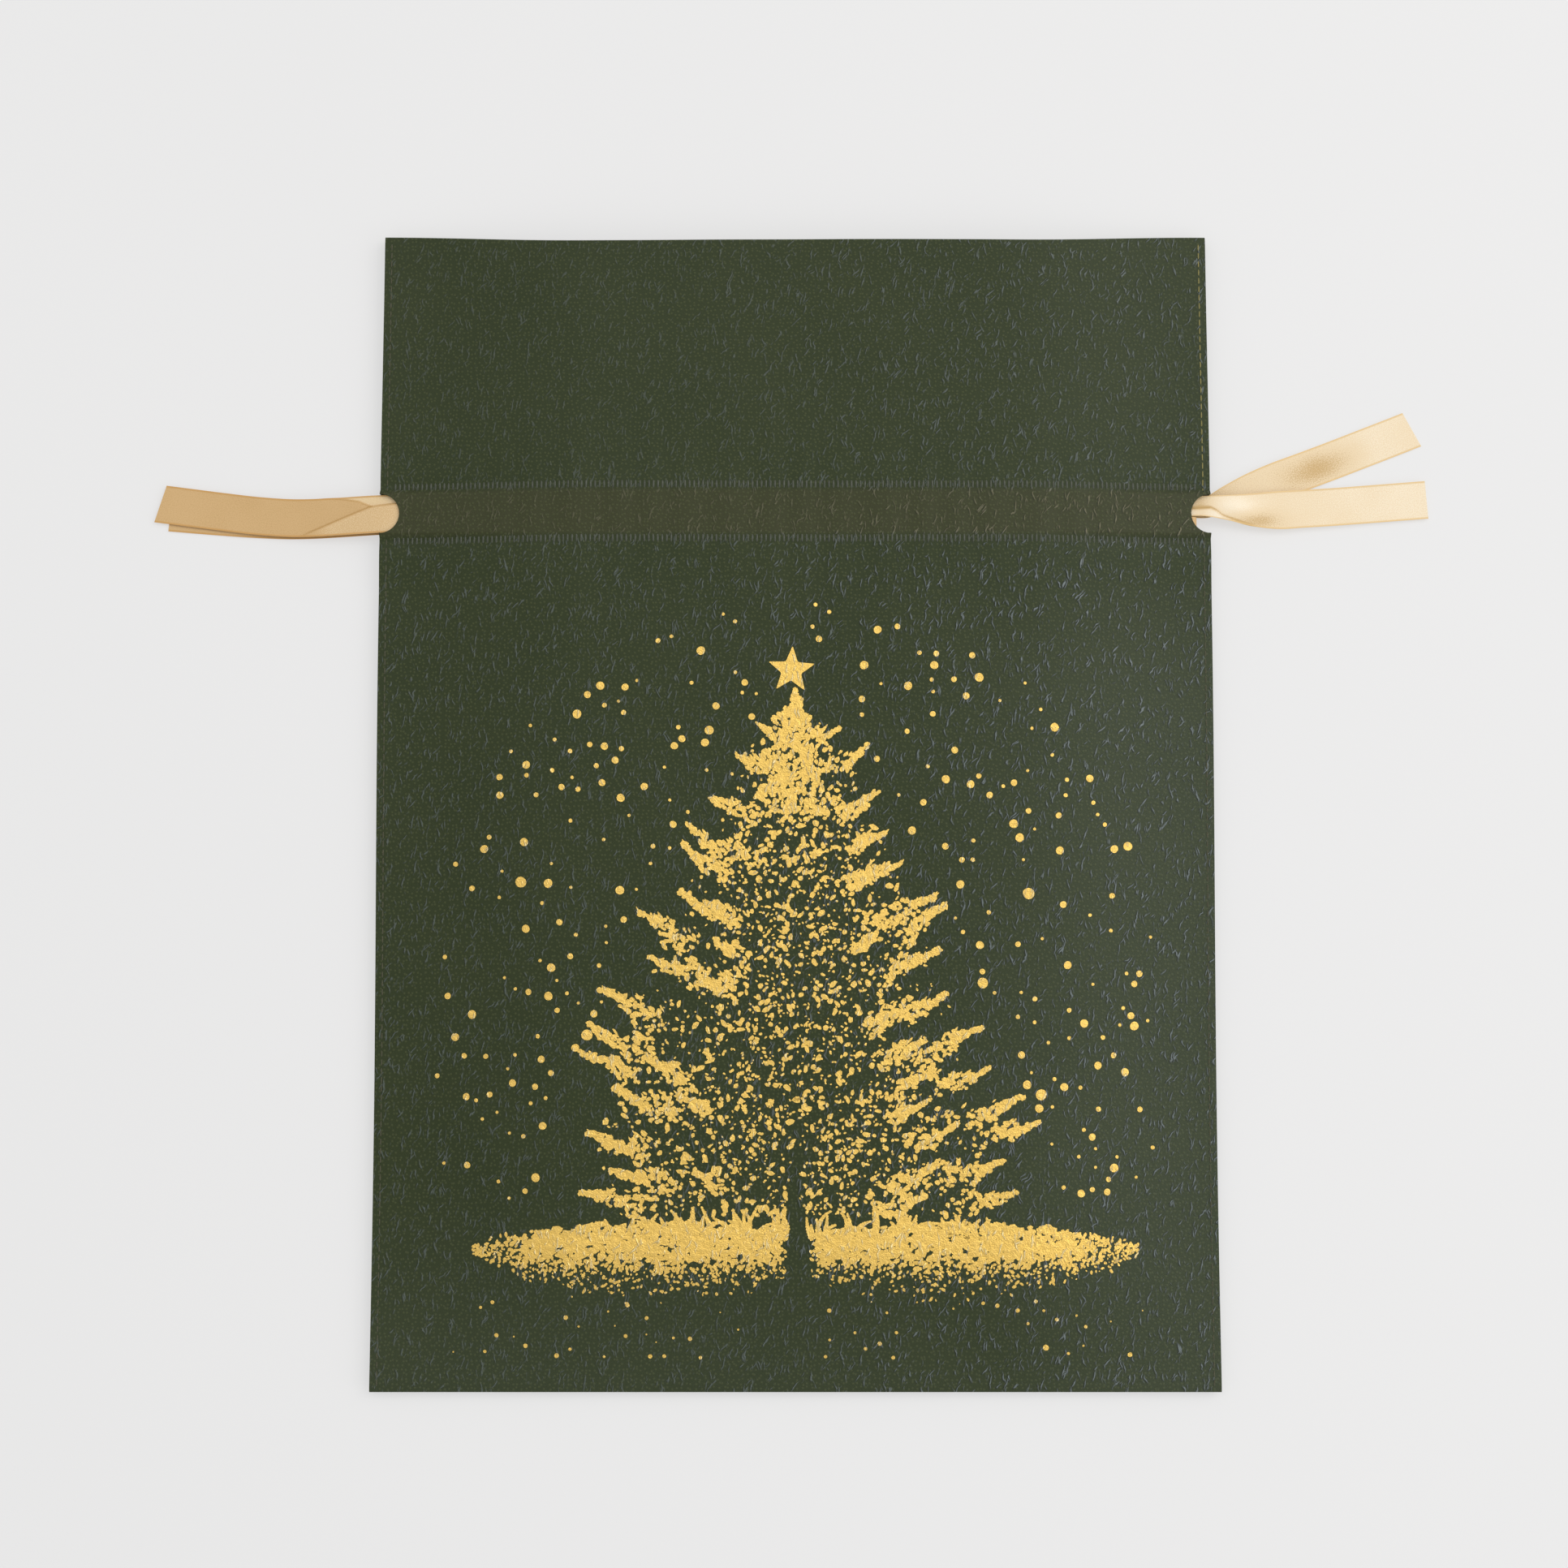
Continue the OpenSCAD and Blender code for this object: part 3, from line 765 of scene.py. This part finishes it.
def spaced(start, end, step):
    """Evenly spaced numbers from start to end, about a step apart."""
    return np.linspace(start, end, max(2, int(round(abs(end - start) / step)) + 1))


def make_body(side, sign, cloth):
    """One half of the sack below the channel: down the front, round the fold, up the back."""
    turn_r = edge_half(FOLD_Y) - CLOTH_T / 2
    turn_y = FOLD_Y + edge_half(FOLD_Y)
    down = np.concatenate([notch_rows(0, -90)[:-1], spaced(CHANNEL_Y - NOTCH_R, turn_y, GRID)])
    angle = np.radians(np.linspace(90, -90, 9))[1:-1]
    y = np.concatenate([down, turn_y - turn_r * np.cos(angle), down[::-1]])
    rows = len(y)
    at_turn = (np.arange(rows) >= len(down)) & (np.arange(rows) < rows - len(down))
    on_front = np.arange(rows) < rows / 2
    swing = np.zeros(rows)
    swing[at_turn] = turn_r * np.sin(angle)
    outline = np.where(at_turn, HALF_W, edge_x(y))
    columns = int(HALF_W / GRID) + 1
    share = np.linspace(0, 1, columns) * sign
    flat_y = np.where(on_front, y, 2 * FOLD_Y - y)

    def surface(column, row):
        x = share[column] * outline[row]
        yy = np.maximum(y[row], turn_y)
        front = front_z(x, yy) - CLOTH_T / 2
        back = back_z(x, yy) + CLOTH_T / 2
        z = np.where(on_front[row], front, back)
        z = np.where(at_turn[row], SEAM_Z + swing[row], z)
        return *wander(x, y[row]), z

    def flat(column, row):
        return share[column] * outline[row], flat_y[row]

    piece = woven(f"sack_{side}", columns, rows, surface, flat, CLOTH_T, cloth)
    gather(piece, side, above=False)
    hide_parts("front_panel", "back_panel")


def make_header(side, sign, wall, cloth):
    """One quarter of the mouth: up the wall, over the mouth, and down inside as the hem."""
    top = MOUTH_Y - CLOTH_T
    up = np.concatenate([notch_rows(0, 90)[:-1], spaced(CHANNEL_Y + NOTCH_R, top, GRID)])
    angle = np.radians(np.linspace(90, -90, 7))[1:-1]
    inside = np.concatenate([
        spaced(top, CHANNEL_Y + NOTCH_R, GRID), notch_rows(90, -90, 17)[1:-1],
        spaced(CHANNEL_Y - NOTCH_R, HEM_END_Y, GRID)])
    y = np.concatenate([up, top + CLOTH_T / 2 * np.cos(angle), inside])
    rows = len(y)
    turn = slice(len(up), len(up) + len(angle))
    depth = np.concatenate([
        np.full(len(up), CLOTH_T / 2), CLOTH_T - CLOTH_T / 2 * np.sin(angle),
        1.5 * CLOTH_T + hem_gap(inside)])
    flat_y = y.copy()
    flat_y[turn.stop:] = 2 * MOUTH_Y - inside
    columns = int(HALF_W / GRID) + 1
    share = np.linspace(0, 1, columns) * sign
    front = wall == "front"

    def surface(column, row):
        x = share[column] * edge_x(y[row])
        yy = np.minimum(y[row], top)
        face = front_z(x, yy) - depth[row] if front else back_z(x, yy) + depth[row]
        return *wander(x, y[row]), face

    def flat(column, row):
        x = share[column] * edge_x(y[row])
        return x + (0 if front else 1), flat_y[row]

    piece = woven(f"mouth_{wall}_{side}", columns, rows, surface, flat, CLOTH_T, cloth)
    gather(piece, side, above=True)
    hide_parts(f"{wall}_hem")


# ---------------------------------------------------------------- seams and welds

def rounded_bar():
    """A bar with rounded ends, 2 by 2 by 2 across, lying along Y."""
    bm = bmesh.new()
    bmesh.ops.create_uvsphere(bm, u_segments=8, v_segments=6, radius=1)
    for v in bm.verts:
        v.co = (v.co.x, v.co.z, -v.co.y)
        v.co.y = math.copysign(abs(v.co.y) ** 0.6, v.co.y)
    return bm


def row_of_bars(name, spots, size, material):
    """Bars on the cloth. Spots is [x, y, whether on the front], and size half a bar's
    [width, length, height]."""
    mesh, co = repeated(name, rounded_bar(), len(spots))
    spots = np.asarray(spots, float)
    x = spots[:, None, 0] + co[:, :, 0] * size[0]
    y = spots[:, None, 1] + co[:, :, 1] * size[1]
    face = np.where(spots[:, None, 2] > 0.5, front_z(x, y), back_z(x, y))
    flat = np.stack([x, y], axis=2).reshape(-1, 2)
    wx, wy = wander(x, y)
    place_points(mesh, np.stack([wx, wy, face + co[:, :, 2] * size[2]], axis=2).reshape(-1, 3))
    lay_flat_map(mesh, flat)
    mesh.shade_smooth()
    return new_piece(name, mesh, material)


def make_seam(side, sign, thread):
    """A side seam: dashes of thread above and below the cloth."""
    count = int((MOUTH_Y - FOLD_Y - 3 * MM) / STITCH_PITCH)
    y = FOLD_Y + 1.5 * MM + STITCH_PITCH * (np.arange(count) + 0.5)
    y = y[np.abs(y - CHANNEL_Y) > NOTCH_R + STITCH_L / 2]
    x = sign * (HALF_W - STITCH_INSET)
    for above, part in ((False, "lower"), (True, "upper")):
        here = y[(y > CHANNEL_Y) == above]
        spots = [(x, at, front) for front in (1, 0) for at in here]
        piece = row_of_bars(f"seam_{side}_{part}", spots,
                            (THREAD_D / 2, STITCH_L / 2, THREAD_D / 2), thread)
        gather(piece, side, above)
        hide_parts(f"{side}_side_stitching")


def make_welds(side, sign, fused):
    """The two rows of short pressed bars that hold the hem to the wall."""
    count = int((HALF_W - SEAM_BAND) / WELD_PITCH)
    x = sign * WELD_PITCH * (np.arange(count) + 0.5)
    for above, part in ((False, "lower"), (True, "upper")):
        y = CHANNEL_Y + (CHANNEL_W / 2 if above else -CHANNEL_W / 2)
        spots = [(at, y, front) for front in (1, 0) for at in x]
        piece = row_of_bars(f"welds_{side}_{part}", spots,
                            (WELD_W / 2, WELD_L / 2, 0.16 * MM), fused)
        gather(piece, side, above)
        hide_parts("front_channel_welds", "back_channel_welds")


# ---------------------------------------------------------------- the foil print

STAR_X = -1.2 * MM
STAR_Y = 41 * MM
STAR_R = 7.6 * MM
STAR_WAIST = 0.42  # radius between the star's points, as a share of the radius of the points
STAR_ROOM = 9.5 * MM  # how near to the star's middle a dot of snow may lie
TREE_TOP = 35 * MM
TREE_H = 161 * MM
TIERS = 15
LOOSE_GRAINS = 1280
CROWN_GRAINS = 420
DRIFT_GRAINS = 3300
DRIFT_TUFTS = 40
SNOW_DOTS = 150  # on each side, of which the last ones lie below the drifts
SNOW_ABOVE = 124


def foil_spots(name, spots, foil, sides=7, ragged=0.13):
    """Spots of foil on the front wall, from [x, y, radius, stretch, angle] in millimetres."""
    bm = bmesh.new()
    bmesh.ops.create_circle(bm, cap_ends=True, segments=sides, radius=1)
    made = bmesh.ops.extrude_face_region(bm, geom=bm.faces[:])
    for v in made["geom"]:
        if isinstance(v, bmesh.types.BMVert):
            v.co.z = 1
    bmesh.ops.recalc_face_normals(bm, faces=bm.faces[:])
    spots = np.asarray(spots, float)
    mesh, co = repeated(name, bm, len(spots))
    turn = np.arctan2(co[:, :, 1], co[:, :, 0])
    phase = rng.random((len(spots), 3, 1)) * 2 * np.pi
    wave = np.sin(2 * turn + phase[:, 0]) + 0.7 * np.sin(3 * turn + phase[:, 1])
    radius = spots[:, None, 2] * MM * (1 + ragged * wave)
    along, over = co[:, :, 0] * radius * spots[:, None, 3], co[:, :, 1] * radius
    cos, sin = np.cos(spots[:, None, 4]), np.sin(spots[:, None, 4])
    x = spots[:, None, 0] * MM + along * cos - over * sin
    y = spots[:, None, 1] * MM + along * sin + over * cos
    top = FOIL_T * (1 + 0.5 * rng.random(len(spots)))[:, None]
    z = front_z(x, y) + np.where(co[:, :, 2] > 0.5, top, -0.02 * MM)
    flat = np.stack([x, y], axis=2).reshape(-1, 2)
    wx, wy = wander(x, y)
    place_points(mesh, np.stack([wx, wy, z], axis=2).reshape(-1, 3))
    lay_flat_map(mesh, flat)
    new_piece(name, mesh, foil)
    return bpy.data.objects[name]


def printed(piece):
    """Print on the part of the cloth that stays put when the neck gathers."""
    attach(piece, "sack")
    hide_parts("foil_print")


def bough(tip, root, spots):
    """One bough: solid and clumpy towards its upturned tip, loose grains towards the trunk."""
    tip, root = np.asarray(tip, float), np.asarray(root, float)
    span = tip - root
    length = np.hypot(*span)
    out = span / length
    over = np.array([-out[1], out[0]]) * np.sign(out[0])
    lean = math.atan2(out[1], out[0])
    full = 1.2 + 0.046 * length * rng.uniform(0.8, 1.2)
    ripe = rng.uniform(0.40, 0.60)
    phase = rng.uniform(0, 6.3, 3)
    for share in np.arange(0.12, 1.0, 0.45 / length):
        at = share * length
        solid = ease((share - ripe + 0.28) / 0.38)
        lumps = 1 + 0.34 * math.sin(at / 1.7 + phase[0]) + 0.26 * math.sin(at / 0.8 + phase[1])
        half = full * (0.14 + 0.86 * ease((1 - share) / 0.46)) * lumps
        bend = -0.08 * length * math.sin(math.pi * share) + 0.7 * math.sin(at / 3 + phase[2])
        centre = root + span * share + over * bend
        for _ in range(3):
            if rng.random() > 0.03 + 0.68 * solid**2:
                continue
            where = centre + over * half * rng.uniform(-1, 1) + out * rng.normal(0, 0.5)
            size = rng.uniform(0.40, 0.85) if solid > 0.7 else rng.uniform(0.3, 0.75)
            spots.append((*where, size, rng.uniform(1, 1.7), lean + rng.normal(0, 0.7)))
        if rng.random() < 0.5 * solid:
            edge = centre + over * half * rng.choice([-1, 1]) * rng.uniform(0.85, 1.3)
            spots.append((*edge, rng.uniform(0.35, 0.75), rng.uniform(1, 1.4), lean))
        if rng.random() < 0.22 * solid:
            up = lean + np.sign(out[0]) * rng.uniform(0.35, 0.9)
            edge = centre + over * half * rng.uniform(0.9, 1.35) + out * 0.8
            spots.append((*edge, rng.uniform(0.28, 0.42), rng.uniform(2.2, 3.4), up))


def inside_tree(y):
    """Half width of the tree at y, in millimetres."""
    down = np.maximum(0, TREE_TOP / MM - y)
    reach = np.minimum(11 * ease(down / 22) + 0.46 * down, 73)
    return reach - 9 * ease((down - 138) / 22)


def tree_half(sign):
    """One side of the fir: tiers of boughs over loose grains."""
    spots = []
    top, height = TREE_TOP / MM, TREE_H / MM
    for tier in range(TIERS):
        down = 0.07 + 0.90 * (abs(tier + rng.uniform(-0.25, 0.25)) / (TIERS - 1)) ** 0.92
        y = top - height * down
        reach = inside_tree(y) * rng.uniform(0.80, 1.06)
        rise = rng.uniform(0.26, 0.54) * (1 - ease((down - 0.50) / 0.45) * 0.80)
        inner = reach * max(0.10, 1 - 36 / reach) if reach > 12 else 0.5
        bough((sign * reach, y + rise * (reach - inner) * 0.5),
              (sign * inner, y - rise * (reach - inner) * 0.5), spots)
        if tier > 3 and rng.random() < 0.6:
            mid = reach * rng.uniform(0.50, 0.74)
            low = y - height / TIERS * rng.uniform(0.2, 0.6)
            bough((sign * mid, low + 3 + rng.uniform(0, 3)), (sign * mid * 0.45, low - 2), spots)
    return spots


def loose_grains(count, sign, spots):
    """Grains between the boughs, fewer about the trunk towards the foot."""
    top, height = TREE_TOP / MM, TREE_H / MM
    while count:
        down = rng.random() ** 0.62
        y = top - height * down
        x = abs(rng.normal(0, 0.40)) * inside_tree(y)
        trunk = 3.6 * ease((down - 0.74) / 0.26) + 0.6 * math.sin(y / 2.7)
        if x > inside_tree(y) * 0.86 or x < trunk * rng.uniform(0.2, 1.3):
            continue
        spots.append((sign * x, y, 0.25 + 0.65 * rng.random() ** 2.6, rng.uniform(1, 1.9),
                      rng.uniform(0, math.pi)))
        count -= 1


def crown(spots, sign):
    """The solid top of the tree."""
    for _ in range(CROWN_GRAINS):
        down = rng.random() * 0.24
        y = TREE_TOP / MM - TREE_H / MM * down
        fill = 0.62 if down < 0.06 else 0.40
        lumps = 1 + 0.3 * math.sin(y / 1.7 + sign) + 0.2 * math.sin(y / 0.8)
        x = rng.random() * inside_tree(y) * fill * lumps
        spots.append((sign * x, y, rng.uniform(0.35, 0.85), rng.uniform(1, 1.5),
                      rng.uniform(0.6, 2.2)))


def drift(sign, spots):
    """A bank of snow: solid above, broken into tufts and spray below."""
    start, end = (4.5, 102.0) if sign > 0 else (3.0, 96.0)
    base = (TREE_TOP - TREE_H) / MM - 9.5
    for _ in range(DRIFT_GRAINS):
        share = rng.random() * 1.03
        x = start + (end - start) * share
        body = math.sin(math.pi * min(1, 0.12 + 0.88 * min(share, 1))) ** 0.6
        lumps = 0.8 * math.sin(x / 2.3) + 0.5 * math.sin(x / 1.1 + 2 * sign)
        above = 6.6 * body + lumps * body
        depth = rng.random()
        y = base + above - depth * 22 * (body + 0.14) + rng.normal(0, 0.5)
        spray = ease((depth - 0.30) / 0.34)
        thin = max(spray, ease((share - 0.76) / 0.2), ease((0.05 - share) / 0.05))
        if rng.random() < 0.50 * thin + 0.5 * ease((depth - 0.5) / 0.5):
            continue
        size = rng.uniform(0.5, 0.95) * (1 - thin) + rng.uniform(0.15, 0.52) * thin
        turn = rng.normal(0.1, 0.5) * (1 - thin) + rng.uniform(0.2, 2.9) * thin
        spots.append((sign * x, y, size, rng.uniform(1.0, 1.9), turn))
    for _ in range(DRIFT_TUFTS):
        share = rng.random() ** 1.4 * 0.66
        x = start + (end - start) * share
        y = base + 5.5 * math.sin(math.pi * (0.12 + 0.88 * share)) ** 0.6
        lean = rng.uniform(0.5, 2.4)
        curl = rng.uniform(-0.2, 0.2)
        steps = int(rng.uniform(5, 14) * (1 - share * 0.9))
        for k in range(steps):
            spots.append((sign * x, y, 0.95 - 0.6 * k / steps, 1.3, lean * sign))
            x += 0.8 * math.cos(lean)
            y += 0.8 * math.sin(lean)
            lean += curl


def snow(sign):
    """Dots of snow round the tree, large and small."""
    spots = []
    while len(spots) < SNOW_DOTS:
        y = rng.uniform(-122, 64) if len(spots) < SNOW_ABOVE else rng.uniform(-170, -148)
        x = inside_tree(y) + 4 + 78 * rng.random() ** 1.2 if y > -124 else rng.uniform(0, 108)
        if -152 < y < -122 and x < 108:
            continue
        if x > 112 or (y > -60 and (x / 112) ** 2 + ((y + 60) / 126) ** 2 > 1):
            continue
        if any(math.hypot(sign * x - s[0], y - s[1]) < 3.2 for s in spots):
            continue
        if math.hypot(sign * x - STAR_X / MM, y - STAR_Y / MM) < STAR_ROOM / MM:
            continue
        size = 0.47 + 0.93 * rng.random() ** 1.5 + (0.6 if rng.random() < 0.08 else 0)
        if y < -148:
            size *= 0.5
        spots.append((sign * x, y, size, 1.0, 0.0))
    return spots


def make_star(foil):
    """A five-pointed star, slightly soft at its points."""
    bm = bmesh.new()
    made = bmesh.ops.create_circle(bm, cap_ends=True, segments=10, radius=1)
    for k, v in enumerate(made["verts"]):
        r = STAR_R if k % 2 == 0 else STAR_R * STAR_WAIST
        angle = math.pi / 2 + k * math.pi / 5 - 0.05
        v.co = (r * math.cos(angle), r * math.sin(angle), 0)
    bmesh.ops.bevel(bm, geom=bm.verts[:], offset=0.5 * MM, affect="VERTICES", segments=3,
                    profile=0.5, material=-1)
    bmesh.ops.triangulate(bm, faces=bm.faces[:])
    bmesh.ops.subdivide_edges(bm, edges=bm.edges[:], cuts=3, use_grid_fill=True)
    made = bmesh.ops.extrude_face_region(bm, geom=bm.faces[:])
    tops = {v for v in made["geom"] if isinstance(v, bmesh.types.BMVert)}
    bmesh.ops.recalc_face_normals(bm, faces=bm.faces[:])
    for v in bm.verts:
        x, y = v.co.x + STAR_X, v.co.y + STAR_Y
        z = float(front_z(x, y)) + (1.5 * FOIL_T if v in tops else -0.02 * MM)
        v.co = (*wander(x, y), z)
    mesh = bpy.data.meshes.new("foil_star")
    bm.to_mesh(mesh)
    bm.free()
    lay_flat_map(mesh, points_of(mesh)[:, :2])
    piece = new_piece("foil_star", mesh, foil)
    printed(piece)


def make_print():
    """The whole print: the dots of snow lie where the cloth gathers."""
    foil = foil_finish()
    make_star(foil)
    for side, sign in SIDES:
        spots = tree_half(sign)
        crown(spots, sign)
        loose_grains(LOOSE_GRAINS, sign, spots)
        printed(foil_spots(f"foil_tree_{side}", spots, foil))
        spots = []
        drift(sign, spots)
        printed(foil_spots(f"foil_drift_{side}", spots, foil))
        piece = foil_spots(f"foil_snow_{side}", snow(sign), foil, sides=12, ragged=0.03)
        gather(piece, side, above=False)
        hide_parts("foil_print")


def make_table():
    """The table that the sack lies on, just below it."""
    bm = bmesh.new()
    bmesh.ops.create_grid(bm, x_segments=1, y_segments=1, size=3)
    mesh = bpy.data.meshes.new("table")
    bm.to_mesh(mesh)
    bm.free()
    table = new_piece("table", mesh, table_finish())
    table.location.z = -0.1 * MM


set_camera()
make_ribbons()
cloth = cloth_finish()
fused = weld_finish()
thread = thread_finish()
for side, sign in SIDES:
    make_body(side, sign, cloth)
    for wall in ("front", "back"):
        make_header(side, sign, wall, cloth)
    make_seam(side, sign, thread)
    make_welds(side, sign, fused)
make_print()
make_table()
set_light()
